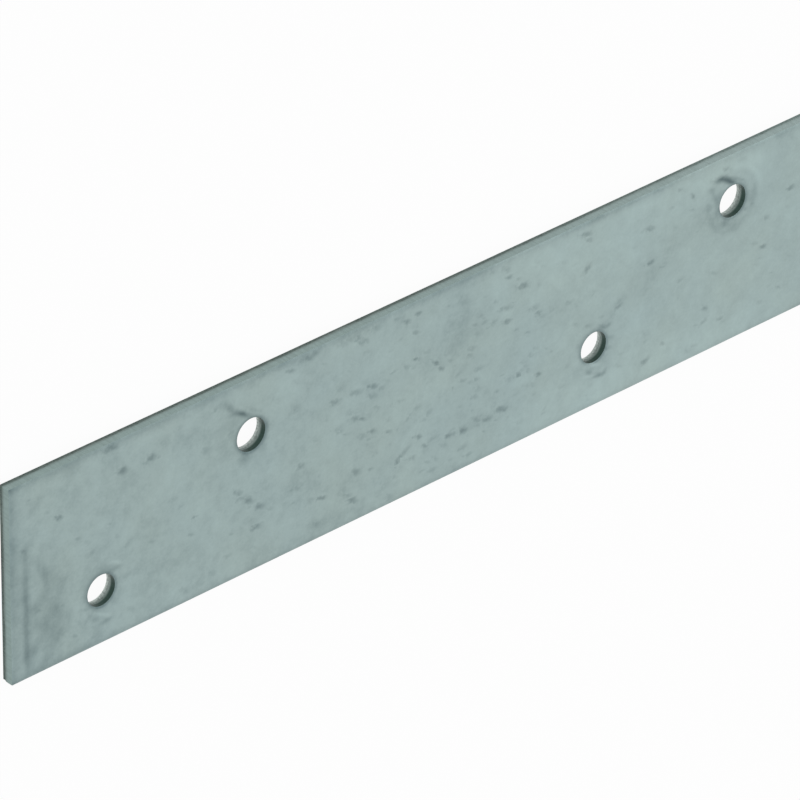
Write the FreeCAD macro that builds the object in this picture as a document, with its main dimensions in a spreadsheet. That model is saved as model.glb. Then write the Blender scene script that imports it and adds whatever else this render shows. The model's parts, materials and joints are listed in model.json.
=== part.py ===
import FreeCAD, Part
import math
import os
import Sketcher
from FreeCAD import Vector

# A flat mending plate: slit steel strip, cropped to length and punched with staggered pairs of holes.
# It lies on its back face. X runs along the plate, Y across it, and Z out of its front face.
# The origin is the middle of the back face.

# Driving sizes in mm
SIZES = {
    "plate_length": (146.0, "overall length"),
    "plate_width": (30.0, "overall width"),
    "sheet_thickness": (2.0, "thickness of the strip"),
    "end_margin": (15.4, "plate end to the centre of the nearest hole"),
    "lower_margin": (8.1, "lower long edge to the first hole of the lower row"),
    "upper_margin": (8.8, "upper long edge to the first hole of the upper row"),
    "pair_run": (26.2, "along the plate between the two holes of a pair"),
    "feed_climb": (1.2, "how much nearer the upper edge the second pair sits"),
    "lower_hole_diameter": (4.75, "punched land of the lower row"),
    "upper_hole_diameter": (5.0, "punched land of the upper row"),
    "hole_roll_width": (0.2, "rolled rim round a hole, along the front face"),
    "hole_roll_drop": (0.08, "rolled rim round a hole, down from the front face"),
    "hole_tear_height": (0.9, "torn part of a hole, up from the back face"),
    "hole_flare": (0.13, "how far the torn part of a hole opens out at the back face"),
    "edge_roll_width": (0.6, "rolled outer edge, along the front face"),
    "edge_roll_drop": (0.12, "rolled outer edge, down from the front face"),
    "edge_tear_height": (0.6, "torn band of an outer edge, up from the back face"),
    "edge_tear_setback": (0.08, "how far the torn band leans in at the back face"),
    "tool_overrun": (1.0, "how far the cutting tools run past the metal"),
}

# Codes for the first end, second end and centre of an edge
FIRST, SECOND, CENTRE = range(1, 4)
# Codes for a sketch's own two axes, the first of which also carries its origin point
ACROSS_AXIS, UP_AXIS = range(-1, -3, -1)
ORIGIN_EDGE = ACROSS_AXIS

# Along the plate, from a hole to its copy in the second pair
PITCH = "(sizes.plate_length - 2 * sizes.end_margin - sizes.pair_run)"


def size(name):
    """One driving size, for drawing a sketch close to its solved shape."""
    return SIZES[name][0]


def fill_sheet(doc):
    """The table of driving sizes, one row each, that every sketch and feature reads."""
    sheet = doc.addObject("Spreadsheet::Sheet", "sizes")
    for row, (name, (value, meaning)) in enumerate(SIZES.items(), start=1):
        sheet.set(f"A{row}", meaning)
        sheet.set(f"B{row}", str(value))
        sheet.setAlias(f"B{row}", name)
    doc.recompute()
    return sheet


def origin_plane(body, role):
    """One of the body's own three planes through its origin."""
    return next(feature for feature in body.Origin.OriginFeatures if feature.Role == role)


def new_sketch(body, name, plane_role):
    """An empty sketch on one of the body's own origin planes."""
    sketch = body.newObject("Sketcher::SketchObject", name)
    sketch.AttachmentSupport = [(origin_plane(body, plane_role), "")]
    sketch.MapMode = "FlatFace"
    return sketch


def roll_arc(corner_x, front_y, width, drop, outward):
    """The rolled edge: an arc that leaves the front face level and falls by drop over width."""
    radius = (width**2 + drop**2) / (2 * drop)
    centre = Vector(corner_x - outward * width, front_y - radius, 0)
    lean = math.atan2(radius - drop, width)
    level = math.pi / 2
    low, high = (lean, level) if outward > 0 else (level, math.pi - lean)
    return Part.ArcOfCircle(Part.Circle(centre, Vector(0, 0, 1), radius), low, high)


def draw_loop(sketch, points, arcs):
    """Draws a closed loop through the points. Where arcs holds a stretch's number it is that arc, not a line.
    Each arc comes with True if it runs forward, from the stretch's first point to its last."""
    ends = []
    for i, start in enumerate(points):
        stop = points[(i + 1) % len(points)]
        if i in arcs:
            arc, forward = arcs[i]
            sketch.addGeometry(arc, False)
            ends.append((FIRST, SECOND) if forward else (SECOND, FIRST))
        else:
            sketch.addGeometry(Part.LineSegment(Vector(*start, 0), Vector(*stop, 0)), False)
            ends.append((FIRST, SECOND))
    for i in range(len(points)):
        following = (i + 1) % len(points)
        join = Sketcher.Constraint("Coincident", i, ends[i][1], following, ends[following][0])
        sketch.addConstraint(join)


def constrain(sketch, *rules):
    """Adds plain constraints, each given as its arguments."""
    for rule in rules:
        sketch.addConstraint(Sketcher.Constraint(*rule))


def dimension(sketch, kind, edge_a, point_a, edge_b, point_b, name, formula, drawn):
    """Adds a named distance from one point to another and binds it to the sheet."""
    rule = Sketcher.Constraint(kind, edge_a, point_a, edge_b, point_b, drawn)
    index = sketch.addConstraint(rule)
    sketch.renameConstraint(index, name)
    sketch.setExpression(f"Constraints.{name}", formula)


def draw_strip_section(body):
    """Section of the slit strip, seen along the plate: flat back, torn bands, lands, rolled front edges."""
    sketch = new_sketch(body, "strip_section", "YZ_Plane")
    half, thick = size("plate_width") / 2, size("sheet_thickness")
    roll, drop = size("edge_roll_width"), size("edge_roll_drop")
    tear, setback = size("edge_tear_height"), size("edge_tear_setback")
    points = [
        (-half + setback, 0),
        (half - setback, 0),
        (half, tear),
        (half, thick - drop),
        (half - roll, thick),
        (-half + roll, thick),
        (-half, thick - drop),
        (-half, tear),
    ]
    back, right_tear, right_land, right_roll, front, left_roll, left_land, _ = range(8)
    arcs = {
        right_roll: (roll_arc(half, thick, roll, drop, 1), True),
        left_roll: (roll_arc(-half, thick, roll, drop, -1), True),
    }
    draw_loop(sketch, points, arcs)
    constrain(
        sketch,
        ("Symmetric", back, FIRST, back, SECOND, UP_AXIS),
        ("Symmetric", right_land, FIRST, left_land, SECOND, UP_AXIS),
        ("Symmetric", right_land, SECOND, left_land, FIRST, UP_AXIS),
        ("Symmetric", front, FIRST, front, SECOND, UP_AXIS),
        ("Vertical", right_land),
        ("Vertical", right_roll, CENTRE, front, FIRST),
        ("Vertical", left_roll, CENTRE, front, SECOND),
        ("PointOnObject", back, FIRST, ACROSS_AXIS),
    )
    measures = [
        ("DistanceX", left_land, SECOND, right_land, FIRST, "width", "sizes.plate_width", 2 * half),
        ("DistanceX", right_tear, FIRST, right_tear, SECOND, "setback", "sizes.edge_tear_setback", setback),
        ("DistanceY", right_tear, FIRST, right_tear, SECOND, "tear", "sizes.edge_tear_height", tear),
        ("DistanceY", back, SECOND, front, FIRST, "thickness", "sizes.sheet_thickness", thick),
        ("DistanceX", front, FIRST, right_land, SECOND, "roll", "sizes.edge_roll_width", roll),
        ("DistanceY", right_land, SECOND, front, FIRST, "drop", "sizes.edge_roll_drop", drop),
    ]
    for measure in measures:
        dimension(sketch, *measure)
    return sketch


def draw_end_crop(body):
    """What the shear takes off the right-hand end, seen from the side."""
    sketch = new_sketch(body, "end_crop_outline", "XZ_Plane")
    end, thick = size("plate_length") / 2, size("sheet_thickness")
    roll, drop = size("edge_roll_width"), size("edge_roll_drop")
    tear, setback = size("edge_tear_height"), size("edge_tear_setback")
    over = size("tool_overrun")
    points = [
        (end - roll, thick + over),
        (end - roll, thick),
        (end, thick - drop),
        (end, tear),
        (end - setback, 0),
        (end - setback, -over),
        (end + over, -over),
        (end + over, thick + over),
    ]
    entry, rolled, land, torn, run_out, below, beyond, above = range(8)
    draw_loop(sketch, points, {rolled: (roll_arc(end, thick, roll, drop, 1), False)})
    constrain(
        sketch,
        ("Vertical", entry),
        ("Vertical", rolled, CENTRE, entry, SECOND),
        ("Vertical", land),
        ("Vertical", run_out),
        ("Horizontal", below),
        ("Vertical", beyond),
        ("Horizontal", above),
        ("PointOnObject", torn, SECOND, ACROSS_AXIS),
    )
    measures = [
        ("DistanceX", ORIGIN_EDGE, FIRST, land, SECOND, "half_length", "sizes.plate_length / 2", end),
        ("DistanceY", ORIGIN_EDGE, FIRST, land, SECOND, "tear", "sizes.edge_tear_height", tear),
        ("DistanceX", torn, SECOND, land, SECOND, "setback", "sizes.edge_tear_setback", setback),
        ("DistanceX", entry, SECOND, land, FIRST, "roll", "sizes.edge_roll_width", roll),
        ("DistanceY", ORIGIN_EDGE, FIRST, entry, SECOND, "thickness", "sizes.sheet_thickness", thick),
        ("DistanceY", land, FIRST, entry, SECOND, "drop", "sizes.edge_roll_drop", drop),
        ("DistanceY", run_out, SECOND, run_out, FIRST, "over_below", "sizes.tool_overrun", over),
        ("DistanceY", entry, SECOND, entry, FIRST, "over_above", "sizes.tool_overrun", over),
        ("DistanceX", land, SECOND, below, SECOND, "over_end", "sizes.tool_overrun", over),
    ]
    for measure in measures:
        dimension(sketch, *measure)
    return sketch


def draw_punch(body, row):
    """Half section of one punched hole about its own axis: rolled rim, smooth land, torn flare."""
    sketch = new_sketch(body, f"{row}_punch_outline", "XZ_Plane")
    radius, thick = size(f"{row}_hole_diameter") / 2, size("sheet_thickness")
    roll, drop = size("hole_roll_width"), size("hole_roll_drop")
    tear, flare = size("hole_tear_height"), size("hole_flare")
    over = size("tool_overrun")
    points = [
        (0, thick + over),
        (radius + roll, thick + over),
        (radius + roll, thick),
        (radius, thick - drop),
        (radius, tear),
        (radius + flare, 0),
        (radius + flare, -over),
        (0, -over),
    ]
    above, entry, rolled, land, torn, run_out, below, axis = range(8)
    draw_loop(sketch, points, {rolled: (roll_arc(radius, thick, roll, drop, -1), True)})
    constrain(
        sketch,
        ("PointOnObject", axis, FIRST, UP_AXIS),
        ("PointOnObject", axis, SECOND, UP_AXIS),
        ("Horizontal", above),
        ("Vertical", entry),
        ("Vertical", rolled, CENTRE, entry, SECOND),
        ("Vertical", land),
        ("Vertical", run_out),
        ("Horizontal", below),
        ("PointOnObject", torn, SECOND, ACROSS_AXIS),
    )
    measures = [
        ("DistanceY", ORIGIN_EDGE, FIRST, entry, SECOND, "thickness", "sizes.sheet_thickness", thick),
        ("DistanceX", ORIGIN_EDGE, FIRST, land, FIRST, "radius", f"sizes.{row}_hole_diameter / 2", radius),
        ("DistanceX", land, FIRST, entry, SECOND, "roll", "sizes.hole_roll_width", roll),
        ("DistanceY", land, FIRST, entry, SECOND, "drop", "sizes.hole_roll_drop", drop),
        ("DistanceY", ORIGIN_EDGE, FIRST, land, SECOND, "tear", "sizes.hole_tear_height", tear),
        ("DistanceX", torn, FIRST, torn, SECOND, "flare", "sizes.hole_flare", flare),
        ("DistanceY", run_out, SECOND, run_out, FIRST, "over_below", "sizes.tool_overrun", over),
        ("DistanceY", entry, SECOND, entry, FIRST, "over_above", "sizes.tool_overrun", over),
    ]
    for measure in measures:
        dimension(sketch, *measure)
    return sketch


def draw_feed_line(body):
    """The way the strip is fed between the two strokes that punch its pairs of holes."""
    sketch = new_sketch(body, "feed_line", "XY_Plane")
    pitch = size("plate_length") - 2 * size("end_margin") - size("pair_run")
    climb = size("feed_climb")
    sketch.addGeometry(Part.LineSegment(Vector(0, 0, 0), Vector(pitch, climb, 0)), False)
    constrain(sketch, ("Coincident", 0, FIRST, ORIGIN_EDGE, FIRST))
    dimension(sketch, "DistanceX", 0, FIRST, 0, SECOND, "pitch", PITCH, pitch)
    dimension(sketch, "DistanceY", 0, FIRST, 0, SECOND, "climb", "sizes.feed_climb", climb)
    return sketch


def slit_strip(body):
    """The bare strip, a little longer than the plate."""
    strip = body.newObject("PartDesign::Pad", "slit_strip")
    strip.Profile = draw_strip_section(body)
    strip.SideType = "Symmetric"
    strip.setExpression("Length", "sizes.plate_length + sizes.tool_overrun")
    return strip


def crop_ends(body):
    """Both ends sheared to length, the left one as the mirror image of the right one."""
    crop = body.newObject("PartDesign::Pocket", "right_crop")
    crop.Profile = draw_end_crop(body)
    crop.SideType = "Symmetric"
    crop.setExpression("Length", "sizes.plate_width + 2 * sizes.tool_overrun")
    both = body.newObject("PartDesign::Mirrored", "both_crops")
    both.Originals = [crop]
    both.MirrorPlane = (origin_plane(body, "YZ_Plane"), [""])
    body.Tip = both
    return both


def punch_row(body, row, along, across):
    """The first hole of a row, punched from the front face at a place given by two formulas."""
    outline = draw_punch(body, row)
    # An upright sketch along the plate faces its lower edge, so moving it up the plate is a step back.
    outline.setExpression("AttachmentOffset.Base.x", along)
    outline.setExpression("AttachmentOffset.Base.z", f"-({across})")
    hole = body.newObject("PartDesign::Groove", f"{row}_hole")
    hole.Profile = outline
    hole.ReferenceAxis = (outline, ["V_Axis"])
    hole.Angle = 360
    return hole


def punch_holes(body):
    """One hole of each row at the left, and the same pair again one feed further on."""
    first = "-sizes.plate_length / 2 + sizes.end_margin"
    low = "-sizes.plate_width / 2 + sizes.lower_margin"
    high = "sizes.plate_width / 2 - sizes.upper_margin"
    strokes = [
        punch_row(body, "lower", first, low),
        punch_row(body, "upper", first + " + sizes.pair_run", high),
    ]
    pairs = body.newObject("PartDesign::LinearPattern", "hole_pairs")
    pairs.Originals = strokes
    pairs.Direction = (draw_feed_line(body), ["Edge1"])
    pairs.Mode = "Extent"
    pairs.setExpression("Length", f"sqrt({PITCH}^2 + sizes.feed_climb^2)")
    pairs.Occurrences = 2
    body.Tip = pairs
    return pairs


def build_plate(doc):
    """The whole plate as one body: strip, cropped ends, punched holes."""
    body = doc.addObject("PartDesign::Body", "mending_plate")
    body.Label = "mending_plate"
    volumes = []
    for stage in (slit_strip, crop_ends, punch_holes):
        feature = stage(body)
        doc.recompute()
        volumes.append(feature.Shape.Volume)
    check_stages(volumes)
    return body


def check_stages(volumes):
    """Each cut has to take metal away, and the holes at least their four plain slugs."""
    strip, cropped, punched = volumes
    if not strip > cropped > punched:
        raise RuntimeError(f"a cut took nothing away: {volumes}")
    lower, upper = size("lower_hole_diameter"), size("upper_hole_diameter")
    slugs = 2 * math.pi / 4 * (lower**2 + upper**2) * size("sheet_thickness")
    if cropped - punched < slugs:
        raise RuntimeError(f"the holes took {cropped - punched:.1f} mm3, less than {slugs:.1f}")


def check_document(doc, body):
    """No object may have failed, every sketch is fully held, and the plate is one sound solid."""
    failed = [o.Name for o in doc.Objects if {"Invalid", "Error"} & set(o.State)]
    sketches = [o for o in doc.Objects if o.isDerivedFrom("Sketcher::SketchObject")]
    loose = [sketch.Name for sketch in sketches if not sketch.FullyConstrained]
    if failed or loose:
        raise RuntimeError(f"failed objects {failed}, loose sketches {loose}")
    shape = body.Shape
    if shape.isNull() or not shape.isValid() or len(shape.Solids) != 1:
        raise RuntimeError("the plate is not one valid solid")


def main():
    doc = FreeCAD.newDocument("mending_plate")
    fill_sheet(doc)
    body = build_plate(doc)
    check_document(doc, body)
    os.makedirs("parts", exist_ok=True)
    body.Shape.exportStep(f"parts/{body.Label}.step")
    box = body.Shape.BoundBox
    print(f"{body.Label}: {box.XLength:.2f} x {box.YLength:.2f} x {box.ZLength:.2f} mm", end=", ")
    print(f"{body.Shape.Volume:.1f} mm3, {len(body.Shape.Faces)} faces")


main()
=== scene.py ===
import json
import math

import bpy
import numpy as np
from mathutils import Matrix, Vector


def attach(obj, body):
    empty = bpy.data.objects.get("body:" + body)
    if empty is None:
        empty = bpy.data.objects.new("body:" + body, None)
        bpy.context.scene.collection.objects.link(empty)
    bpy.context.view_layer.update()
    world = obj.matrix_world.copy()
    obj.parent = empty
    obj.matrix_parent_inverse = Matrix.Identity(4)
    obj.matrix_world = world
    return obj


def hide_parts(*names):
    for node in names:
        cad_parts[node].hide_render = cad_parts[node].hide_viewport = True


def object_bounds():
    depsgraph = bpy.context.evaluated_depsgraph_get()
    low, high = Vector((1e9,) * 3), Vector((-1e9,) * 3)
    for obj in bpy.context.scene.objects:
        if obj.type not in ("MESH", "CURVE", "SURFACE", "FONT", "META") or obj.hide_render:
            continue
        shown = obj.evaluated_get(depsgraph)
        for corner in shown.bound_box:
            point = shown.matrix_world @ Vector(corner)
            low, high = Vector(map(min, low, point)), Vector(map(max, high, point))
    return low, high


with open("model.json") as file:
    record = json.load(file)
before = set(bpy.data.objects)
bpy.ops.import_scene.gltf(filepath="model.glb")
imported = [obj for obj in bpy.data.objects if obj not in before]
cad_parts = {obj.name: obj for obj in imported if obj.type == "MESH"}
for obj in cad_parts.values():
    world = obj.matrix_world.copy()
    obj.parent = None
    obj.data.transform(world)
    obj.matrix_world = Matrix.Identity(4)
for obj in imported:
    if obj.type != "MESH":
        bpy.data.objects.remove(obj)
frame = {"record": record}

bl_info = {
    "name": "Zinc-Coated Mending Plate",
    "version": (1, 0, 0),
    "blender": (4, 5, 0),
    "location": "View3D > Sidebar > Mending Plate",
    "description": "Builds a punched mending plate of zinc-coated strip, and a stage to look at it on",
    "category": "Object",
}

# The plate lies on its back face: X runs along it, Y across it and Z out of its front face.
# Shapes are worked out in millimetres and turned to metres as they go into a mesh.

MM = 0.001
CAD_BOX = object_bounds()
CAD_NODE = "mending_plate"
BODY = "root"


def holes_of_record():
    """Each punched hole in mm: the x and y of its axis and its radius, from left to right."""
    bores = [mount for mount in frame["record"]["mounts"] if mount["kind"] == "bore"]
    found = [(m["pos_m"][0] / MM, m["pos_m"][1] / MM, m["dims"]["r_mm"]) for m in bores]
    return np.array(sorted(found))


HOLES = holes_of_record()
LENGTH, WIDTH, THICKNESS = ((high - low) / MM for low, high in zip(*CAD_BOX))

# Codes: a face's material, and the side that it is on
FACE, LAND, TORN = range(3)
FRONT, BACK, WALL = range(3)

# Rows of points: on the faces round a hole and how they crowd towards it, down a hole, and over the edge
FRONT_ROWS, BACK_ROWS, CROWDING = 32, 9, 1.3
ROLL_ROWS, LAND_ROWS, TORN_ROWS = 5, 5, 13
EDGE_FLAT_ROWS, EDGE_ROLL_ROWS, EDGE_LAND_ROWS, EDGE_TORN_ROWS = 8, 6, 4, 7
# Insets of the holes' cells from the outline, and of a loop between the two on the back face, in mm
EDGE_BAND, BACK_LOOP = 3.0, 1.0
# Steps in mm along the plate's edges, and along the cuts between the cells
EDGE_SPACING, CUT_SPACING = 0.4, 0.5
# The least angle between two faces that is shaded as a sharp edge
SHARP_ANGLE = math.radians(33)
# A ripple's number of waves, and the gain that makes it about 1 in root mean square
RIPPLE_WAVES, RIPPLE_GAIN = 48, 1.4
# Times this, points lose their height, and a pattern is the same at every height
LEVEL = (1, 1, 0)

# In mm: the wander of the line where the land ends, in a hole and on the outline, the reach of the dish
# beside a hole, and the lengths of the strip's slow waves
HOLE_WANDER, EDGE_WANDER = 0.12, 0.08
DISH_REACH = 2.4
SHEET_WAVES = (14.0, 60.0)
# The back face's waves against the front's, and how far the pits climb, in torn heights
BACK_WAVES, PITS_TOP = 0.5, 1.1
# The cropping blade's mark near the left end: its place, upper end, size and depth in mm
MARK_X, MARK_TOP = -70.5, 4.5
MARK_HALF_WIDTH, MARK_FADE, MARK_DEPTH = 0.58, 0.8, 0.015
# Makes the mark's darkness change along it, and little across it
MARK_GRAIN = (0.2, 1, 0)
# How far from a hole's rim a wall counts as the hole's
BORE_REACH = 0.6

# Darkness is 0 for clean zinc and 1 for a full smear. Bands of painted shade along the front face's rolled
# edges: edge, darkness and reach in mm
EDGE_SHADE_BANDS = (("upper", 0.24, 1.2), ("upper", 0.22, 0.5), ("lower", 0.26, 0.7), ("left", 0.26, 1.5),
              ("left", 0.12, 0.6), ("right", 0.24, 1.0))
# Bands of painted shade round each hole's rolled rim: darkness and reach in mm
RIM_SHADE_BANDS = ((0.60, 0.36), (0.05, 1.2))
# The crop mark and how much it varies, the clouds of each face, and the degrees in which an arc ends
MARK_TONE, MARK_UNEVEN = 0.44, 0.08
FRONT_CLOUDS, BACK_CLOUDS = 0.024, 0.084
ARC_FADE = 7

# Scattered specks: how many on a face, its seed, and the margins at the ends and long edges
SPECK_COUNT = 320
SPECK_SEEDS = {FRONT: 51, BACK: 52}
END_MARGIN, SIDE_MARGIN = 1.5, 1.0
# Every second one lies about one place along the plate, with its own spread and margin
GATHERED_X, GATHERED_SPREAD, GATHERED_MARGIN = 4, 20, 2
# Their half lengths, their half widths as a share of those, and the widest of all
SPECK_HALF_LENGTHS, SPECK_SLIMNESS, SPECK_WIDEST = (0.3, 0.8), (0.35, 0.65), 0.42
# Their two main turns in degrees, the share that has the first, and the spread about each
SPECK_TURNS, FIRST_TURN_SHARE, TURN_SPREAD = (-14.0, 30.0), 0.88, 11
# Darkness of the specks read from the photograph and of the scattered ones
STRONG_SPECKS, FAINT_SPECKS = (0.28, 0.52), (0.05, 0.26)
# How far a speck can show, in its own half lengths, and what a face out of reach has instead of one
SPECK_REACH = 3.5
NO_SPECK = (0.0, 0.0, 1.0, 1.0, 0.0, 0.0)

# The coat's patterns. Layers of its mottle: size in mm, depth in darkness, detail
MOTTLE = ((5.0, 0.22, 3.0), (1.4, 0.22, 3.0), (0.35, 0.06, 2.0))
# A speck's outline: size in mm and depth of the noise that upsets it, and its reach
UPSET_SIZE, UPSET_DEPTH, SPECK_OUTLINE = 0.7, 2.6, 2.0
# The drift of its grey: size in mm and two tints
DRIFT_SIZE, YELLOWER, BLUER = 12.0, (1.01, 0.995, 0.975, 1), (0.985, 1.005, 1.045, 1)
# Its grain: size in mm, least and greatest roughness, and bump in mm
GRAIN_SIZE, SMOOTHEST, DULLEST, GRAIN_BUMP = 0.5, 0.42, 0.6, 0.01

# The cut walls: where the outline grows paler as painted brightening, in lengths of the plate from its
# middle
PALER_FROM, LAND_PALER_TO, TORN_PALER_TO = -1 / 8, 3 / 4, 1
# How far below and above the land's lower end the outline's two colours mix, in mm
TORN_MIX, LAND_MIX = 0.3, 0.55
# Heights in mm between which a hole's colour, from painted reflection to painted shade, changes on its land,
# and from which on its tear
BORE_LAND_SPAN, BORE_TEAR_FROM = (0.75, 1.25), 0.1
# The span of the noise that darkens a wall, and the dirt's colour
DIRT_FROM, DIRT_TO, DIRT = 0.4, 0.7, (0.1, 0.13, 0.12, 1)
# The Mix node's colour sockets, by number because others have the same names
MIX_SHARE, MIX_A, MIX_B, MIX_OUT = 0, 6, 7, 2

# The stage's soft lamps: name, place and width in metres, power in watts
LAMPS = (("key_lamp", (0.7, 0.3, 0.8), 0.6, 1.3), ("top_lamp", (-0.5, -0.9, 1.2), 1.0, 1.5))
# The floor's points along a side, the sensor in mm, and the camera's range of sight in metres
FLOOR_POINTS, SENSOR_WIDTH, NEAREST, FARTHEST = 5, 36, 0.05, 20
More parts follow.
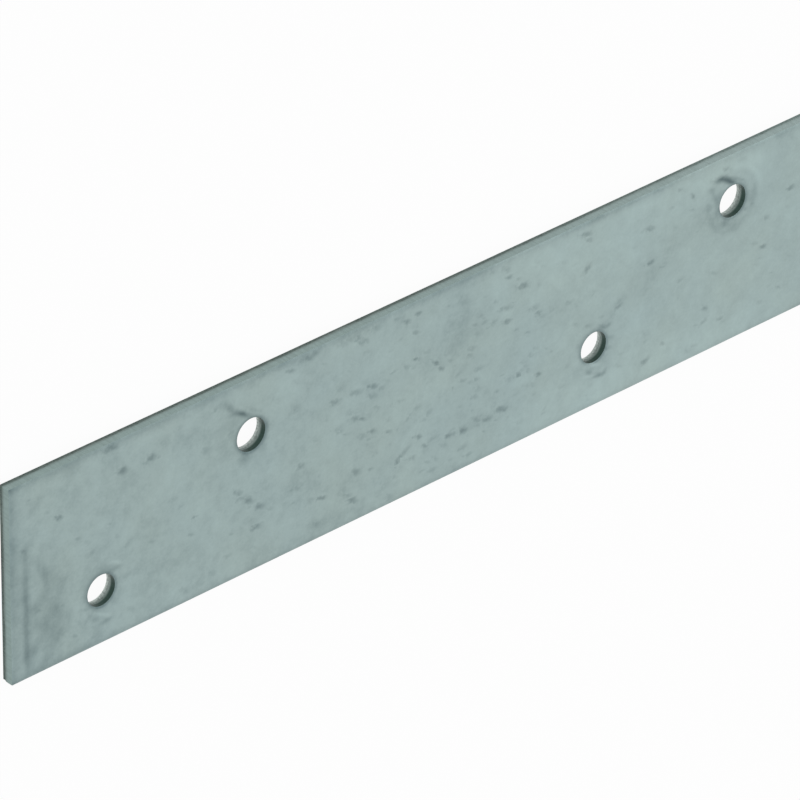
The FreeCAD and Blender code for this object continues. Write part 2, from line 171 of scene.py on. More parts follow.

# The front face's wear and painted light, read from the photograph, in mm from the plate's middle.
# Smears, clouds, rubbed places and patches of painted light: x, y, half length, half width, turn in degrees,
# and darkness, which is below 0 where the zinc is lighter
SMEARS_AND_PAINTED_LIGHT = np.array([
    # round the upper left hole
    (-33.0, 10.1, 1.3, 0.42, -33, 0.84), (-35.2, 11.8, 1.5, 0.55, -46, 0.40),
    (-34.5, 10.6, 0.9, 0.45, -10, 0.30), (-30.9, 9.9, 1.4, 0.30, -32, 0.20),
    (-32.7, 2.9, 1.0, 1.0, 0, 0.44), (-29.3, 3.3, 0.6, 0.9, -20, 0.14),
    (-28.7, 6.8, 0.4, 1.2, -12, 0.14), (-34.8, 7.8, 0.5, 1.6, 5, 0.10),
    (-34.2, 9.2, 0.9, 0.9, -30, 0.14), (-31.6, 9.3, 1.4, 0.5, 0, 0.16),
    # round the upper right hole
    (55.0, 11.9, 1.0, 0.55, 0, 0.74), (56.4, 11.2, 1.4, 0.50, -28, 0.98),
    (58.6, 10.6, 1.6, 0.30, -28, 0.30), (53.3, 10.8, 0.9, 0.55, -15, 0.42),
    (54.0, 9.2, 1.1, 0.40, -62, 0.26), (52.8, 8.2, 0.5, 1.0, 10, 0.20),
    (56.1, 4.4, 1.0, 0.55, -18, 0.42), (59.0, 3.8, 1.6, 0.45, 12, 0.12),
    (61.3, 6.6, 0.4, 1.3, -10, 0.12), (54.9, 9.5, 0.8, 1.0, -30, 0.22), (59.0, 1.9, 2.2, 1.1, 0, -0.09),
    (57.3, 10.5, 0.9, 0.35, -16, 0.50),
    # round the lower left hole
    (-55.4, -4.4, 1.2, 0.50, 6, 0.34), (-57.2, -4.1, 0.9, 0.35, 20, 0.08),
    (-53.3, -6.4, 0.9, 0.6, 0, 0.14), (-52.9, -1.5, 1.1, 0.5, 24, 0.20),
    (-55.0, -3.6, 1.1, 0.22, -30, -0.34), (-57.6, -10.6, 1.6, 0.22, -28, -0.36),
    (-58.9, -10.9, 0.7, 0.35, -28, 0.22), (-57.0, -11.9, 1.1, 0.45, 8, 0.34),
    (-58.3, -13.3, 0.6, 0.7, 0, 0.26), (-60.5, -11.5, 1.0, 1.2, 0, 0.12),
    (-55.4, -9.4, 0.8, 0.5, -20, 0.18), (-54.4, -8.2, 1.0, 1.6, 0, 0.08),
    # round the lower right hole
    (33.0, -3.0, 0.9, 0.30, -28, 0.34), (34.1, -3.1, 0.6, 0.35, 0, 0.30),
    (36.0, -0.3, 1.1, 0.6, 15, 0.16), (31.3, -8.4, 1.3, 0.25, -22, -0.44),
    (30.5, -9.4, 0.9, 0.40, -32, 0.36), (31.0, -10.1, 1.3, 0.22, -14, -0.34),
    (32.3, -10.5, 1.4, 0.38, -8, 0.70), (33.6, -10.2, 0.5, 0.35, 40, 0.30),
    (30.9, -11.5, 0.7, 0.35, 0, 0.26), (36.3, -4.5, 2.0, 2.0, 0, 0.06), (31.2, -9.0, 2.4, 1.2, -8, 0.18),
    (28.4, -8.8, 1.6, 1.5, 0, 0.10), (33.5, -8.0, 0.9, 1.0, 0, 0.18), (35.0, -0.9, 3.0, 1.4, 30, 0.10),
    (28.0, -4.6, 1.0, 2.0, 0, 0.09), (25.6, -6.4, 2.4, 2.5, 0, 0.06),
    # cloudy, streaked zinc beside the crop mark
    (-66.9, -5.5, 3.0, 7.5, 6, 0.22), (-67.2, -0.7, 0.6, 1.9, 4, 0.28),
    (-64.6, -3.4, 0.8, 1.8, -12, 0.20), (-69.0, -5.0, 0.7, 1.0, 0, 0.30),
    (-65.4, -6.6, 0.8, 1.4, -8, 0.22), (-67.3, -8.2, 0.7, 1.2, 0, 0.24),
    (-65.3, -10.2, 1.3, 1.0, 20, 0.22), (-69.4, -11.2, 0.7, 1.2, 0, 0.28),
    (-71.8, -6.0, 0.5, 8.0, 0, 0.08), (-66.6, -13.2, 1.4, 0.7, 10, 0.16),
    (-64.3, -7.0, 1.0, 1.6, 0, 0.11), (-68.4, 1.6, 0.5, 1.3, 0, 0.16), (-63.2, -8.8, 0.6, 1.5, 10, 0.14),
    (-70.3, 8.0, 2.0, 4.0, 0, 0.05),
    # clouds in the zinc
    (6.9, 8.5, 3.2, 4.8, 0, 0.21), (23.0, 3.7, 3.0, 2.2, 30, 0.14), (42.5, 2.4, 11.0, 2.2, 26, 0.14),
    (-15.3, -8.2, 3.4, 2.0, -15, 0.18), (-24.0, 7.5, 3.4, 2.4, 0, 0.08),
    (-18.2, -13.2, 5.0, 1.2, 0, 0.16), (-7.8, 7.9, 2.8, 2.6, 0, -0.10), (-52.0, 10.0, 7.0, 4.0, 0, 0.06),
    (-44.5, 11.5, 3.0, 1.8, -20, 0.06), (2.0, 3.5, 1.8, 1.2, 20, 0.08), (8.5, -8.9, 5.5, 1.0, 0, 0.12),
    (16.0, 9.5, 2.4, 1.6, 0, 0.09), (-56.4, 12.3, 2.2, 1.2, 0, 0.14), (-63.2, 13.5, 1.6, 0.8, 0, 0.14),
    (-57.0, 4.8, 1.6, 1.4, 0, 0.06), (-42.3, 2.0, 1.2, 1.4, 0, 0.07), (-39.3, -4.0, 1.4, 2.0, 0, 0.07),
    (-44.0, -11.0, 2.6, 2.0, 0, -0.05), (-13.0, -8.0, 1.8, 1.4, 0, 0.08),
    (-17.2, 6.3, 1.2, 1.2, 0, -0.09), (15.1, 4.6, 1.4, 2.6, 0, -0.12), (2.2, 5.0, 1.6, 1.2, 0, -0.07),
    (14.3, 13.2, 1.8, 1.2, 0, 0.10), (4.4, 13.0, 1.2, 1.4, 0, 0.07), (41.5, 11.8, 7.5, 1.6, 0, 0.14),
    (67.3, 11.6, 3.4, 2.3, 0, 0.27), (67.0, 0.8, 3.0, 2.8, 0, -0.11), (29.7, 7.5, 0.8, 0.6, 35, 0.16),
    (47.5, 12.6, 2.5, 1.8, 0, 0.09), (-55.6, 11.7, 1.4, 1.0, 0, 0.09), (40.5, -6.5, 2.0, 2.4, 0, -0.05),
    # along the long edges
    (-68.9, -14.1, 1.4, 1.0, 0, 0.18), (-62.5, -14.4, 7.0, 0.7, 0, 0.14),
    (-9.5, -14.6, 5.0, 0.7, 0, -0.12), (7.6, -14.5, 4.0, 0.6, 0, 0.11),
    (17.3, -14.4, 1.8, 0.8, 0, -0.12), (-19.0, 14.6, 3.0, 0.8, 0, -0.12),
    (-5.5, 14.5, 3.0, 1.0, 0, -0.16),
    # cores of the boldest specks
    (-53.9, 10.0, 0.5, 0.4, 0, 0.26), (-48.9, 9.9, 0.5, 0.4, 0, 0.22),
    (-31.9, -3.8, 0.5, 0.35, -20, 0.26), (-30.0, -5.5, 0.45, 0.35, 0, 0.26),
    (49.7, 11.2, 0.4, 0.35, -60, 0.26), (41.4, -11.8, 0.7, 0.3, 20, 0.20),
    # painted light from end to end: brighter towards the right, and lighter and darker bands along the
    # long edges that even out the painted edge shade
    (40.0, 0.0, 42.0, 60.0, 0, -0.14), (50.0, 13.0, 38.0, 4.5, 0, -0.21),
    (48.0, -13.5, 28.0, 4.0, 0, -0.17), (-55.0, -14.0, 25.0, 3.5, 0, 0.02),
    (-50.0, 14.0, 22.0, 2.5, 0, -0.08), (34.0, 14.5, 12.0, 0.9, 0, 0.07),
    (38.0, 14.8, 10.0, 0.4, 0, 0.13), (2.0, 14.8, 6.0, 0.4, 0, 0.06),
])
# Arcs of painted shade and sheen round a hole, where the punch dished the sheet: its number from the left,
# distance from the axis, half width, the bearings that it runs between in degrees, darkness, below 0 for
# sheen
DISH_SHADE_ARCS = np.array([
    (1, 3.0, 0.30, -70, 40, 0.10), (1, 2.9, 0.30, 110, 200, 0.14), (3, 3.2, 0.35, 150, 215, 0.24),
    (3, 3.1, 0.30, -60, 60, 0.10), (3, 5.3, 0.40, -10, 85, -0.14), (3, 4.4, 0.40, -30, 75, 0.12),
    (3, 4.6, 0.50, 190, 300, 0.14), (3, 3.9, 1.40, -180, 180, 0.14), (0, 2.9, 0.30, 80, 200, 0.16),
    (0, 3.2, 0.80, -180, 180, 0.10), (2, 2.9, 0.30, 60, 190, 0.14), (2, 5.9, 0.30, -120, -60, -0.08),
])
# Dashes and specks: x, y, half length and turn in degrees
SPECKS = np.array([
    (-55.7, 14.2, 1.1, -5), (-53.8, 10.0, 0.9, -10), (-48.9, 9.9, 0.8, -5), (-64.7, 7.4, 0.5, -20),
    (-41.5, -2.3, 0.5, 0), (-24.4, 13.2, 0.7, -15), (-21.3, 14.0, 1.2, 0), (-33.8, -1.9, 0.7, -40),
    (-31.9, -3.8, 1.0, -30), (-30.0, -5.5, 0.7, -25), (-30.5, -8.4, 0.8, -10), (-22.8, -2.3, 0.6, -10),
    (-19.0, -8.8, 0.7, -15), (-12.8, -7.3, 0.8, -35), (-13.4, -11.5, 0.8, -20), (-4.4, -8.3, 1.5, 34),
    (-2.4, -9.4, 0.6, -10), (-1.5, -6.5, 0.6, -15), (-11.5, 12.6, 1.0, -15), (-12.6, 13.4, 0.6, -10),
    (-3.7, 12.5, 0.7, -20), (-2.1, 10.2, 0.6, -20), (-1.6, 13.0, 0.5, 0), (-2.1, 6.0, 0.5, -15),
    (-16.5, 5.2, 0.8, 0), (-12.8, 5.2, 0.9, -10), (-9.8, 4.9, 0.8, -15), (-6.1, 5.6, 0.7, 10),
    (-15.7, 0.2, 0.6, -20), (-13.0, 1.1, 0.7, -15), (-11.6, 0.5, 0.6, -25), (-9.9, -2.1, 0.6, -15),
    (-6.9, -3.4, 0.6, -20), (14.6, 13.4, 0.7, -25), (15.1, 12.0, 0.7, -10), (16.7, 11.1, 0.5, -15),
    (17.8, 9.6, 0.9, -15), (14.7, 7.3, 1.0, -10), (12.2, 6.0, 0.8, 10), (14.9, 5.2, 0.7, -15),
    (19.8, 5.3, 0.8, 0), (20.7, 4.1, 0.7, -15), (26.6, 3.5, 0.7, -5), (29.2, 13.1, 0.9, -15),
    (30.0, 12.0, 0.7, -25), (29.7, 7.5, 1.0, 35), (1.7, 3.9, 0.7, -45), (2.7, 2.5, 0.5, -30),
    (8.3, 3.5, 0.7, -15), (4.3, -1.4, 0.5, 0), (6.6, -0.9, 0.7, -10), (9.1, -1.7, 0.6, -15),
    (17.3, -4.3, 0.8, -10), (20.9, -5.7, 0.5, -15), (-0.2, -8.4, 0.5, -20), (4.3, -8.6, 0.8, -10),
    (6.8, -8.8, 0.7, -15), (9.5, -8.3, 1.1, -25), (11.4, -8.9, 1.0, -5), (13.9, -8.5, 0.9, -15),
    (8.0, -13.2, 0.8, 0), (41.4, 9.2, 0.9, -10), (47.2, 13.1, 0.5, -20), (45.8, 11.0, 0.5, -10),
    (49.7, 11.2, 0.7, -60), (56.1, 13.1, 0.6, -20), (41.8, 3.7, 0.6, 10), (35.9, -1.0, 0.6, 10),
    (52.7, -7.9, 0.6, -25), (52.5, -10.0, 0.7, 30), (55.8, -10.8, 0.5, 0), (44.7, -10.4, 0.5, -30),
    (41.4, -11.8, 0.9, 20), (67.2, -10.2, 0.5, -30), (69.0, 5.2, 0.6, 0), (64.2, 2.2, 0.5, -10),
    (64.0, -2.3, 0.6, -15),
])


def linear(hex_colour):
    """An sRGB colour such as 9AABA9 as the linear red, green, blue and alpha that Blender works in."""
    srgb = np.array([int(hex_colour[i:i + 2], 16) for i in (0, 2, 4)]) / 255
    levels = np.where(srgb <= 0.04045, srgb / 12.92, ((srgb + 0.055) / 1.055) ** 2.4)
    return (*levels.tolist(), 1.0)


def in_mm(name, description, size):
    """A length setting, its default in mm."""
    return bpy.props.FloatProperty(
        name=name, description=description, default=size * MM, min=0, unit="LENGTH")


def in_degrees(name, description, angle):
    """An angle setting, its default in degrees."""
    return bpy.props.FloatProperty(
        name=name, description=description, default=math.radians(angle), subtype="ANGLE", unit="ROTATION")


def tint(name, description, hex_colour):
    """A colour setting."""
    return bpy.props.FloatVectorProperty(
        name=name, description=description, default=linear(hex_colour)[:3], min=0, max=1, size=3,
        subtype="COLOR")


class PlateSettings(bpy.types.PropertyGroup):
    """Sizes and colours of the sheared and punched strip."""
    edge_roll_width: in_mm("Edge Roll Width", "Rolled outer edge, along the front face", 0.6)
    edge_roll_drop: in_mm("Edge Roll Drop", "Rolled outer edge, down from the front face", 0.12)
    edge_tear_height: in_mm("Edge Tear Height", "Torn band of an outer edge, up from the back face", 0.6)
    edge_tear_setback: in_mm(
        "Edge Tear Setback", "How far the torn band leans in at the back face", 0.08)
    hole_roll_width: in_mm("Hole Roll Width", "Rolled rim round a hole, along the front face", 0.2)
    hole_roll_drop: in_mm("Hole Roll Drop", "Rolled rim round a hole, down from the front face", 0.08)
    hole_tear_height: in_mm("Hole Tear Height", "Torn part of a hole, up from the back face", 0.9)
    hole_flare: in_mm("Hole Flare", "How far the torn part of a hole opens out at the back face", 0.13)
    tear_roughness: in_mm("Tear Roughness", "Depth of the pits in the torn metal", 0.05)
    dish_depth: in_mm("Dish Depth", "How far the punch pulled the sheet down beside a hole", 0.05)
    wave_depth: in_mm("Wave Depth", "How far the slit strip is out of flat", 0.02)
    zinc_colour: tint("Zinc Colour", "Clean face of the zinc coat", "9AABA9")
    # Its colour also gives the painted sheen: the brightening towards the right end and round the holes
    rubbed_and_sheen_colour: tint("Rubbed Colour", "Zinc that has been rubbed pale", "B4C8C5")
    # Its colour also gives the painted shade along the edges and round the holes' rims
    smear_and_shade_colour: tint("Smear Colour", "Zinc under oil and black smears", "56686A")
    # Darkened as painted shade of the outer edge, over its burnished land
    land_and_shade_colour: tint("Land Colour", "Zinc dragged over the burnished band of an outer edge", "8DA09D")
    # Darkened as painted shade of the outer edge, over its bare torn steel
    torn_and_shade_colour: tint("Torn Colour", "Bare torn steel of an outer edge", "66746F")
    bore_front_shade_colour: tint(
        # Painted black shade inside a hole's front rim, over dark burnished steel
        "Bore Front Colour", "Oily burnished steel just inside a hole's front rim", "3A4D47")
    bore_middle_colour: tint("Bore Middle Colour", "Steel inside a hole where its land ends", "86938F")
    # Painted reflection of the pale surroundings at a hole's back rim
    bore_back_reflection_colour: tint("Bore Back Colour", "Torn bright steel at a hole's back rim", "C8D1CD")


class StageSettings(bpy.types.PropertyGroup):
    """Floor, light and camera."""
    floor_width: in_mm("Floor Width", "Side of the square floor", 6000)
    floor_gap: in_mm("Floor Gap", "How far the floor lies under the back face", 0.02)
    floor_colour: tint("Floor Colour", "Matt pale floor", "F2F2F2")
    floor_shine: bpy.props.FloatProperty(
        name="Floor White",
        description="Share of the floor seen as plain white, which leaves the shadow faint",
        default=0.94, min=0, max=1, subtype="FACTOR")
    sky_light: bpy.props.FloatProperty(
        name="Sky Light", description="Strength of the even light from all round",
        default=0.75, min=0)
    view_turn: in_degrees(
        "View Turn", "How far round the plate's Y axis the camera stands from its front", 42.956)
    view_rise: in_degrees("View Rise", "How far the camera stands over the plate's upper edge", 31.577)
    view_roll: in_degrees("View Roll", "How far the camera is tipped about its own line of sight", 0.644)
    view_range: in_mm("View Range", "From the camera to the point that it aims at", 1052.98)
    view_aim: bpy.props.FloatVectorProperty(
        name="View Aim", description="Point on the front face at the middle of the picture",
        default=(-4.838 * MM, 0.735 * MM, 2.0 * MM), size=3, subtype="TRANSLATION", unit="LENGTH")
    lens: bpy.props.FloatProperty(
        name="Lens", description="Focal length in mm on a sensor 36 mm wide",
        default=353.87, min=1)


# Surfaces

def segments(span, spacing):
    """How many even steps, of about the spacing, make up the span."""
    return max(2, round(span / spacing))


def rectangle_loop(along, left, right, half):
    """Points once round a rectangle, anticlockwise from its lower left corner, with no point twice.
    along holds the x of its lower and upper edges, left and right the y of its two ends."""
    lower = np.stack([along, np.full_like(along, -half)], 1)[:-1]
    end = np.stack([np.full_like(right, along[-1]), right], 1)[:-1]
    upper = np.stack([along[::-1], np.full_like(along, half)], 1)[:-1]
    start = np.stack([np.full_like(left, along[0]), left[::-1]], 1)[:-1]
    return np.concatenate([lower, end, upper, start])


def rolled_rim(width, drop, steps):
    """Rows of a rolled edge as (in from the wall, down from the face): points of the arc of radius
    (width squared + drop squared) / (2 drop) that leaves the face level and meets the wall."""
    radius = (width**2 + drop**2) / (2 * drop)
    turn = np.linspace(0, math.asin(width / radius), steps)
    return np.stack([width - radius * np.sin(turn), radius * (1 - np.cos(turn))], 1)


def ripple(points, shortest, longest, seed):
    """A smooth uneven field about 0: the sum of plane cosine waves whose directions, phases and lengths,
    from the shortest to the longest in mm, are a seeded draw, times the gain over the root of how many
    there are."""
    draw = np.random.default_rng(seed)
    heading = draw.normal(size=(RIPPLE_WAVES, 3))
    heading /= np.linalg.norm(heading, axis=1, keepdims=True)
    length = shortest * (longest / shortest) ** draw.random(RIPPLE_WAVES)
    phase = draw.random(RIPPLE_WAVES) * 2 * math.pi
    turns = points @ (heading * (2 * math.pi / length)[:, None]).T + phase
    return np.cos(turns).sum(-1) * (RIPPLE_GAIN / math.sqrt(RIPPLE_WAVES))


def bell(distance, reach):
    """1 at no distance, falling as e to the minus (distance over reach) squared."""
    return np.exp(-((distance / reach) ** 2))


def fade_out(past, reach):
    """Near 1 before a limit, a half at it and near 0 past it: 1 over (1 + e to the past over the reach)."""
    return 1 / (1 + np.exp(past / reach))


def graded(steps):
    """Shares t from 1 down to 0 that crowd towards 0: (e to the crowding times t, less 1) over (e to the
    crowding, less 1)."""
    t = np.linspace(1, 0, steps)
    return np.expm1(CROWDING * t) / np.expm1(CROWDING)


def pit_depth(points, height, tear, shortest, longest, seed):
    """How deep the torn metal is pitted, from 0 to 1: a ripple about a half, times 4 s (1 - s) to the power
    0.7, with s the share of the way up to the pits' top, which is nothing there and at the back face."""
    share = np.clip(height / (tear * PITS_TOP), 0, 1)
    rough = np.clip(4 * share * (1 - share), 0, 1) ** 0.7
    return np.clip(0.5 + 0.5 * ripple(points, shortest, longest, seed), 0, 1) * rough[:, None]


def wandering(height, tear, depth, wave):
    """How far each point goes down so that the line where the land ends wanders: the depth times the wave
    on that line, and evenly less away from it, to nothing at the tear's height above or below."""
    return depth * wave * np.clip(1 - np.abs(height - tear) / tear, 0, 1)[:, None]


def hole_sheet(outer, centre, radius, plate):
    """The surface from a cell's outer boundary on the front face to the rim of its hole, down the wall and
    back out over the back face, as rows of closed loops round the hole, and the material of each strip.
    On a face, a point lies at share s of the straight line from the rim point to the boundary point.
    On the wall, a point at angle a is the centre plus (radius + offset) times (cos a, sin a), where the
    offset follows the rolled arc, is nothing on the land and grows evenly over the torn part, with pits
    added. The angle is midway between the boundary point's bearing and an even share of the turn."""
    count = len(outer)
    bearing = np.unwrap(np.arctan2(*(outer - centre).T[::-1]))
    even = np.arange(count) * 2 * math.pi / count
    even += (bearing - even).mean()
    angle = 0.5 * (bearing + even)
    compass = np.stack([np.cos(angle), np.sin(angle)], 1)

    roll = rolled_rim(plate.hole_roll_width / MM, plate.hole_roll_drop / MM, ROLL_ROWS)
    tear, flare = plate.hole_tear_height / MM, plate.hole_flare / MM
    land = np.linspace(THICKNESS - roll[-1, 1], tear, LAND_ROWS)[1:]
    torn = np.linspace(tear, 0, TORN_ROWS)[1:]
    offset = np.concatenate([roll[:, 0], np.zeros(len(land)), flare * (1 - torn / tear)])
    height = np.concatenate([THICKNESS - roll[:, 1], land, torn])

    wall = np.empty((len(height), count, 3))
    wall[:, :, :2] = centre + (radius + offset)[:, None, None] * compass
    wall[:, :, 2] = height[:, None]
    wave = ripple(wall[:1] * LEVEL, shortest=1.0, longest=4.0, seed=11)
    wall[:, :, 2] -= wandering(height, tear, HOLE_WANDER, wave)
    pits = pit_depth(wall, height, tear, shortest=0.16, longest=0.7, seed=12)
    wall[:, :, :2] += (plate.tear_roughness / MM * pits)[:, :, None] * compass

    front = graded(FRONT_ROWS)[:-1, None, None]
    back = graded(BACK_ROWS)[::-1][1:, None, None]
    rows = [outer * front + wall[0, :, :2] * (1 - front), wall[:, :, :2],
            outer * back + wall[-1, :, :2] * (1 - back)]
    levels = [np.full((len(front), count), THICKNESS), wall[:, :, 2], np.zeros((len(back), count))]
    surface = np.dstack([np.concatenate(rows), np.concatenate(levels)])
    kinds = np.full(len(surface) - 1, FACE)
    land_from = len(front) + ROLL_ROWS - 1
    torn_from = land_from + LAND_ROWS - 1
    kinds[land_from:torn_from] = LAND
    kinds[torn_from:torn_from + TORN_ROWS - 1] = TORN
    return surface, kinds


def rim_sheet(inner, corner, plate):
    """The outer edge: closed loops carried round the plate's outline, from the cells' boundary on the back
    face outwards, up the torn band and the land, over the rolled edge and in to the boundary on the front,
    and the material of each strip.
    A point at inset w from the outline is the boundary point scaled by (half size - w) / (half boundary) in
    x and in y, which keeps the corners mitred and each loop level."""
    roll = rolled_rim(plate.edge_roll_width / MM, plate.edge_roll_drop / MM, EDGE_ROLL_ROWS)
    tear, setback = plate.edge_tear_height / MM, plate.edge_tear_setback / MM
    torn = np.linspace(0, tear, EDGE_TORN_ROWS)
    land = np.linspace(tear, THICKNESS - roll[-1, 1], EDGE_LAND_ROWS)[1:]
    rolled = roll[::-1][1:]
    flat = np.linspace(roll[0, 0], EDGE_BAND, EDGE_FLAT_ROWS)[1:]
    on_back = [EDGE_BAND, BACK_LOOP]
    inset = np.concatenate([on_back, setback * (1 - torn / tear), np.zeros(len(land)), rolled[:, 0], flat])
    height = np.concatenate([
        [0] * len(on_back), torn, land, THICKNESS - rolled[:, 1], np.full(len(flat), THICKNESS)])

    half = np.array([LENGTH, WIDTH]) / 2
    scale = (half - inset[:, None]) / corner
    # The first and last loops are the boundary itself, so that they weld to the cells.
    scale[[0, -1]] = 1
    surface = np.empty((len(inset), len(inner), 3))
    surface[:, :, :2] = inner * scale[:, None, :]
    surface[:, :, 2] = height[:, None]
    wave = ripple(surface[:1] * LEVEL, shortest=2.0, longest=9.0, seed=21)
    surface[:, :, 2] -= wandering(height, tear, EDGE_WANDER, wave)
    pits = pit_depth(surface, height, tear, shortest=0.5, longest=1.6, seed=22)
    surface[:, :, :2] *= 1 - (plate.tear_roughness / MM * pits)[:, :, None] / half
    kinds = np.full(len(surface) - 1, FACE)
    land_from = len(on_back) + EDGE_TORN_ROWS - 1
    kinds[len(on_back):land_from] = TORN
    kinds[land_from:land_from + EDGE_LAND_ROWS - 1] = LAND
    return surface, kinds


def loop_quads(rows, count, start):
    """Four-sided faces between neighbouring loops of points numbered row by row from start."""
    here = np.arange(rows * count).reshape(rows, count) + start
    ahead = np.roll(here, -1, axis=1)
    return np.stack([here[:-1], ahead[:-1], ahead[1:], here[1:]], -1).reshape(-1, 4)


def weld(points, faces):
    """Joins points that share a place, to a tenth of a micron, and gives the faces their new numbers."""
    _, kept, number = np.unique(np.round(points, 4), axis=0, return_index=True, return_inverse=True)
    return points[kept], number.reshape(-1)[faces]


def past_rim(x, y, hole):
    """How far each point lies outside a hole's rim, and 0 inside it."""
    hole_x, hole_y, radius = hole
    return np.clip(np.hypot(x - hole_x, y - hole_y) - radius, 0, None)


def crop_mark(x, y):
    """1 along the line that the cropping blade left near the left end, fading to 0 off it."""
    return bell(x - MARK_X, MARK_HALF_WIDTH) * fade_out(y - MARK_TOP, MARK_FADE)


def out_of_flat(points, plate):
    """The sheet as it lies: the front face goes down and the back face up by a slow ripple, and the front
    also sinks beside each hole, as a bell as deep as the dish, and along the crop mark. In between, a wall
    point moves by its share of the height."""
    x, y, z = points.T
    share = z / THICKNESS
    down = plate.wave_depth / MM * (0.5 + 0.5 * ripple(points * LEVEL, *SHEET_WAVES, seed=31))
    up = plate.wave_depth / MM * BACK_WAVES * (0.5 + 0.5 * ripple(points * LEVEL, *SHEET_WAVES, seed=32))
    for hole in HOLES:
        down += plate.dish_depth / MM * bell(past_rim(x, y, hole), DISH_REACH)
    down += MARK_DEPTH * crop_mark(x, y)
    moved = points.copy()
    moved[:, 2] += np.clip(up, 0, None) * (1 - share) - np.clip(down, 0, None) * share
    moved[:, 2] = np.clip(moved[:, 2], 0, THICKNESS)
    return moved


def plate_surface(plate):
    """The whole plate as welded points, four-sided faces and each face's material number: a cell with its
    own loops round each hole, cut from the next midway between the two, and the outer edge."""
    corner = np.array([LENGTH, WIDTH]) / 2 - EDGE_BAND
    cuts = np.array([-corner[0], *(HOLES[:-1, 0] + HOLES[1:, 0]) / 2, corner[0]])
    ends = np.linspace(-corner[1], corner[1], segments(2 * corner[1], EDGE_SPACING) + 1)
    inner = np.linspace(-corner[1], corner[1], segments(2 * corner[1], CUT_SPACING) + 1)
    uprights = [ends, *[inner] * (len(cuts) - 2), ends]
    alongs = [np.linspace(a, b, segments(b - a, EDGE_SPACING) + 1) for a, b in zip(cuts, cuts[1:])]

    sheets = []
    for along, left, right, (x, y, radius) in zip(alongs, uprights, uprights[1:], HOLES):
        boundary = rectangle_loop(along, left, right, corner[1])
        sheets.append(hole_sheet(boundary, np.array([x, y]), radius, plate))
    whole = np.concatenate([alongs[0], *[along[1:] for along in alongs[1:]]])
    sheets.append(rim_sheet(rectangle_loop(whole, ends, ends, corner[1]), corner, plate))

    points, faces, kinds, start = [], [], [], 0
    for surface, strip_kinds in sheets:
        rows, count = surface.shape[:2]
        points.append(surface.reshape(-1, 3))
        faces.append(loop_quads(rows, count, start))
        kinds.append(np.repeat(strip_kinds, count))
        start += rows * count
    points, faces = weld(np.concatenate(points), np.concatenate(faces))
    return out_of_flat(points, plate), faces, np.concatenate(kinds)


# Finish

def in_oval(x, y, mid_x, mid_y, half_length, half_width, turn):
    """Distances along and across an oval from its middle, in its own half lengths."""
    c, s = np.cos(np.radians(turn)), np.sin(np.radians(turn))
    run = ((x - mid_x) * c + (y - mid_y) * s) / half_length
    rise = ((y - mid_y) * c - (x - mid_x) * s) / half_width
    return run, rise


def tone_of(points):
    """How dark each point is, 0 for clean zinc: on the front face a sum of bells, for each smear or patch of
    painted light in its own half lengths, each arc of painted shade and sheen round a hole, and each band of
    painted shade along an edge or round a rim, plus the crop mark and faint clouds. The back face has only
    the clouds."""
    x, y, z = points.T
    tone = np.zeros(len(points))
    # Each smear, rubbed place and patch of painted light
    for *oval, dark in SMEARS_AND_PAINTED_LIGHT:
        run, rise = in_oval(x, y, *oval)
        tone += dark * np.exp(-(run**2 + rise**2))
    # Painted shade and sheen of the dished sheet round each hole
    for hole, reach, half_width, first, last, dark in DISH_SHADE_ARCS:
        hole_x, hole_y, _ = HOLES[int(hole)]
        across = np.hypot(x - hole_x, y - hole_y) - reach
        bearing = np.degrees(np.arctan2(y - hole_y, x - hole_x))
        past_end = np.abs((bearing - (first + last) / 2 + 180) % 360 - 180) - (last - first) / 2
        tone += dark * bell(across, half_width) * fade_out(past_end, ARC_FADE)
    inset = {"upper": WIDTH / 2 - y, "lower": WIDTH / 2 + y, "left": LENGTH / 2 + x, "right": LENGTH / 2 - x}
    # Painted shade of the rolled outer edges
    for edge, dark, reach in EDGE_SHADE_BANDS:
        tone += dark * bell(inset[edge], reach)
    uneven = ripple(points * MARK_GRAIN, shortest=2.0, longest=9.0, seed=42)
    tone += crop_mark(x, y) * (MARK_TONE + MARK_UNEVEN * uneven)
    # Painted shade of each hole's rolled rim
    for hole in HOLES:
        for dark, reach in RIM_SHADE_BANDS:
            tone += dark * bell(past_rim(x, y, hole), reach)
    clouds = ripple(points * LEVEL, shortest=6.0, longest=25.0, seed=41)
    return np.where(z > THICKNESS / 2, tone + FRONT_CLOUDS * clouds, BACK_CLOUDS * clouds)


def in_bore(points):
    """1 for each point in a hole or within the bore's reach of its rim, 0 for the others."""
    x, y = points.T[:2]
    return np.min([past_rim(x, y, hole) for hole in HOLES], axis=0) < BORE_REACH


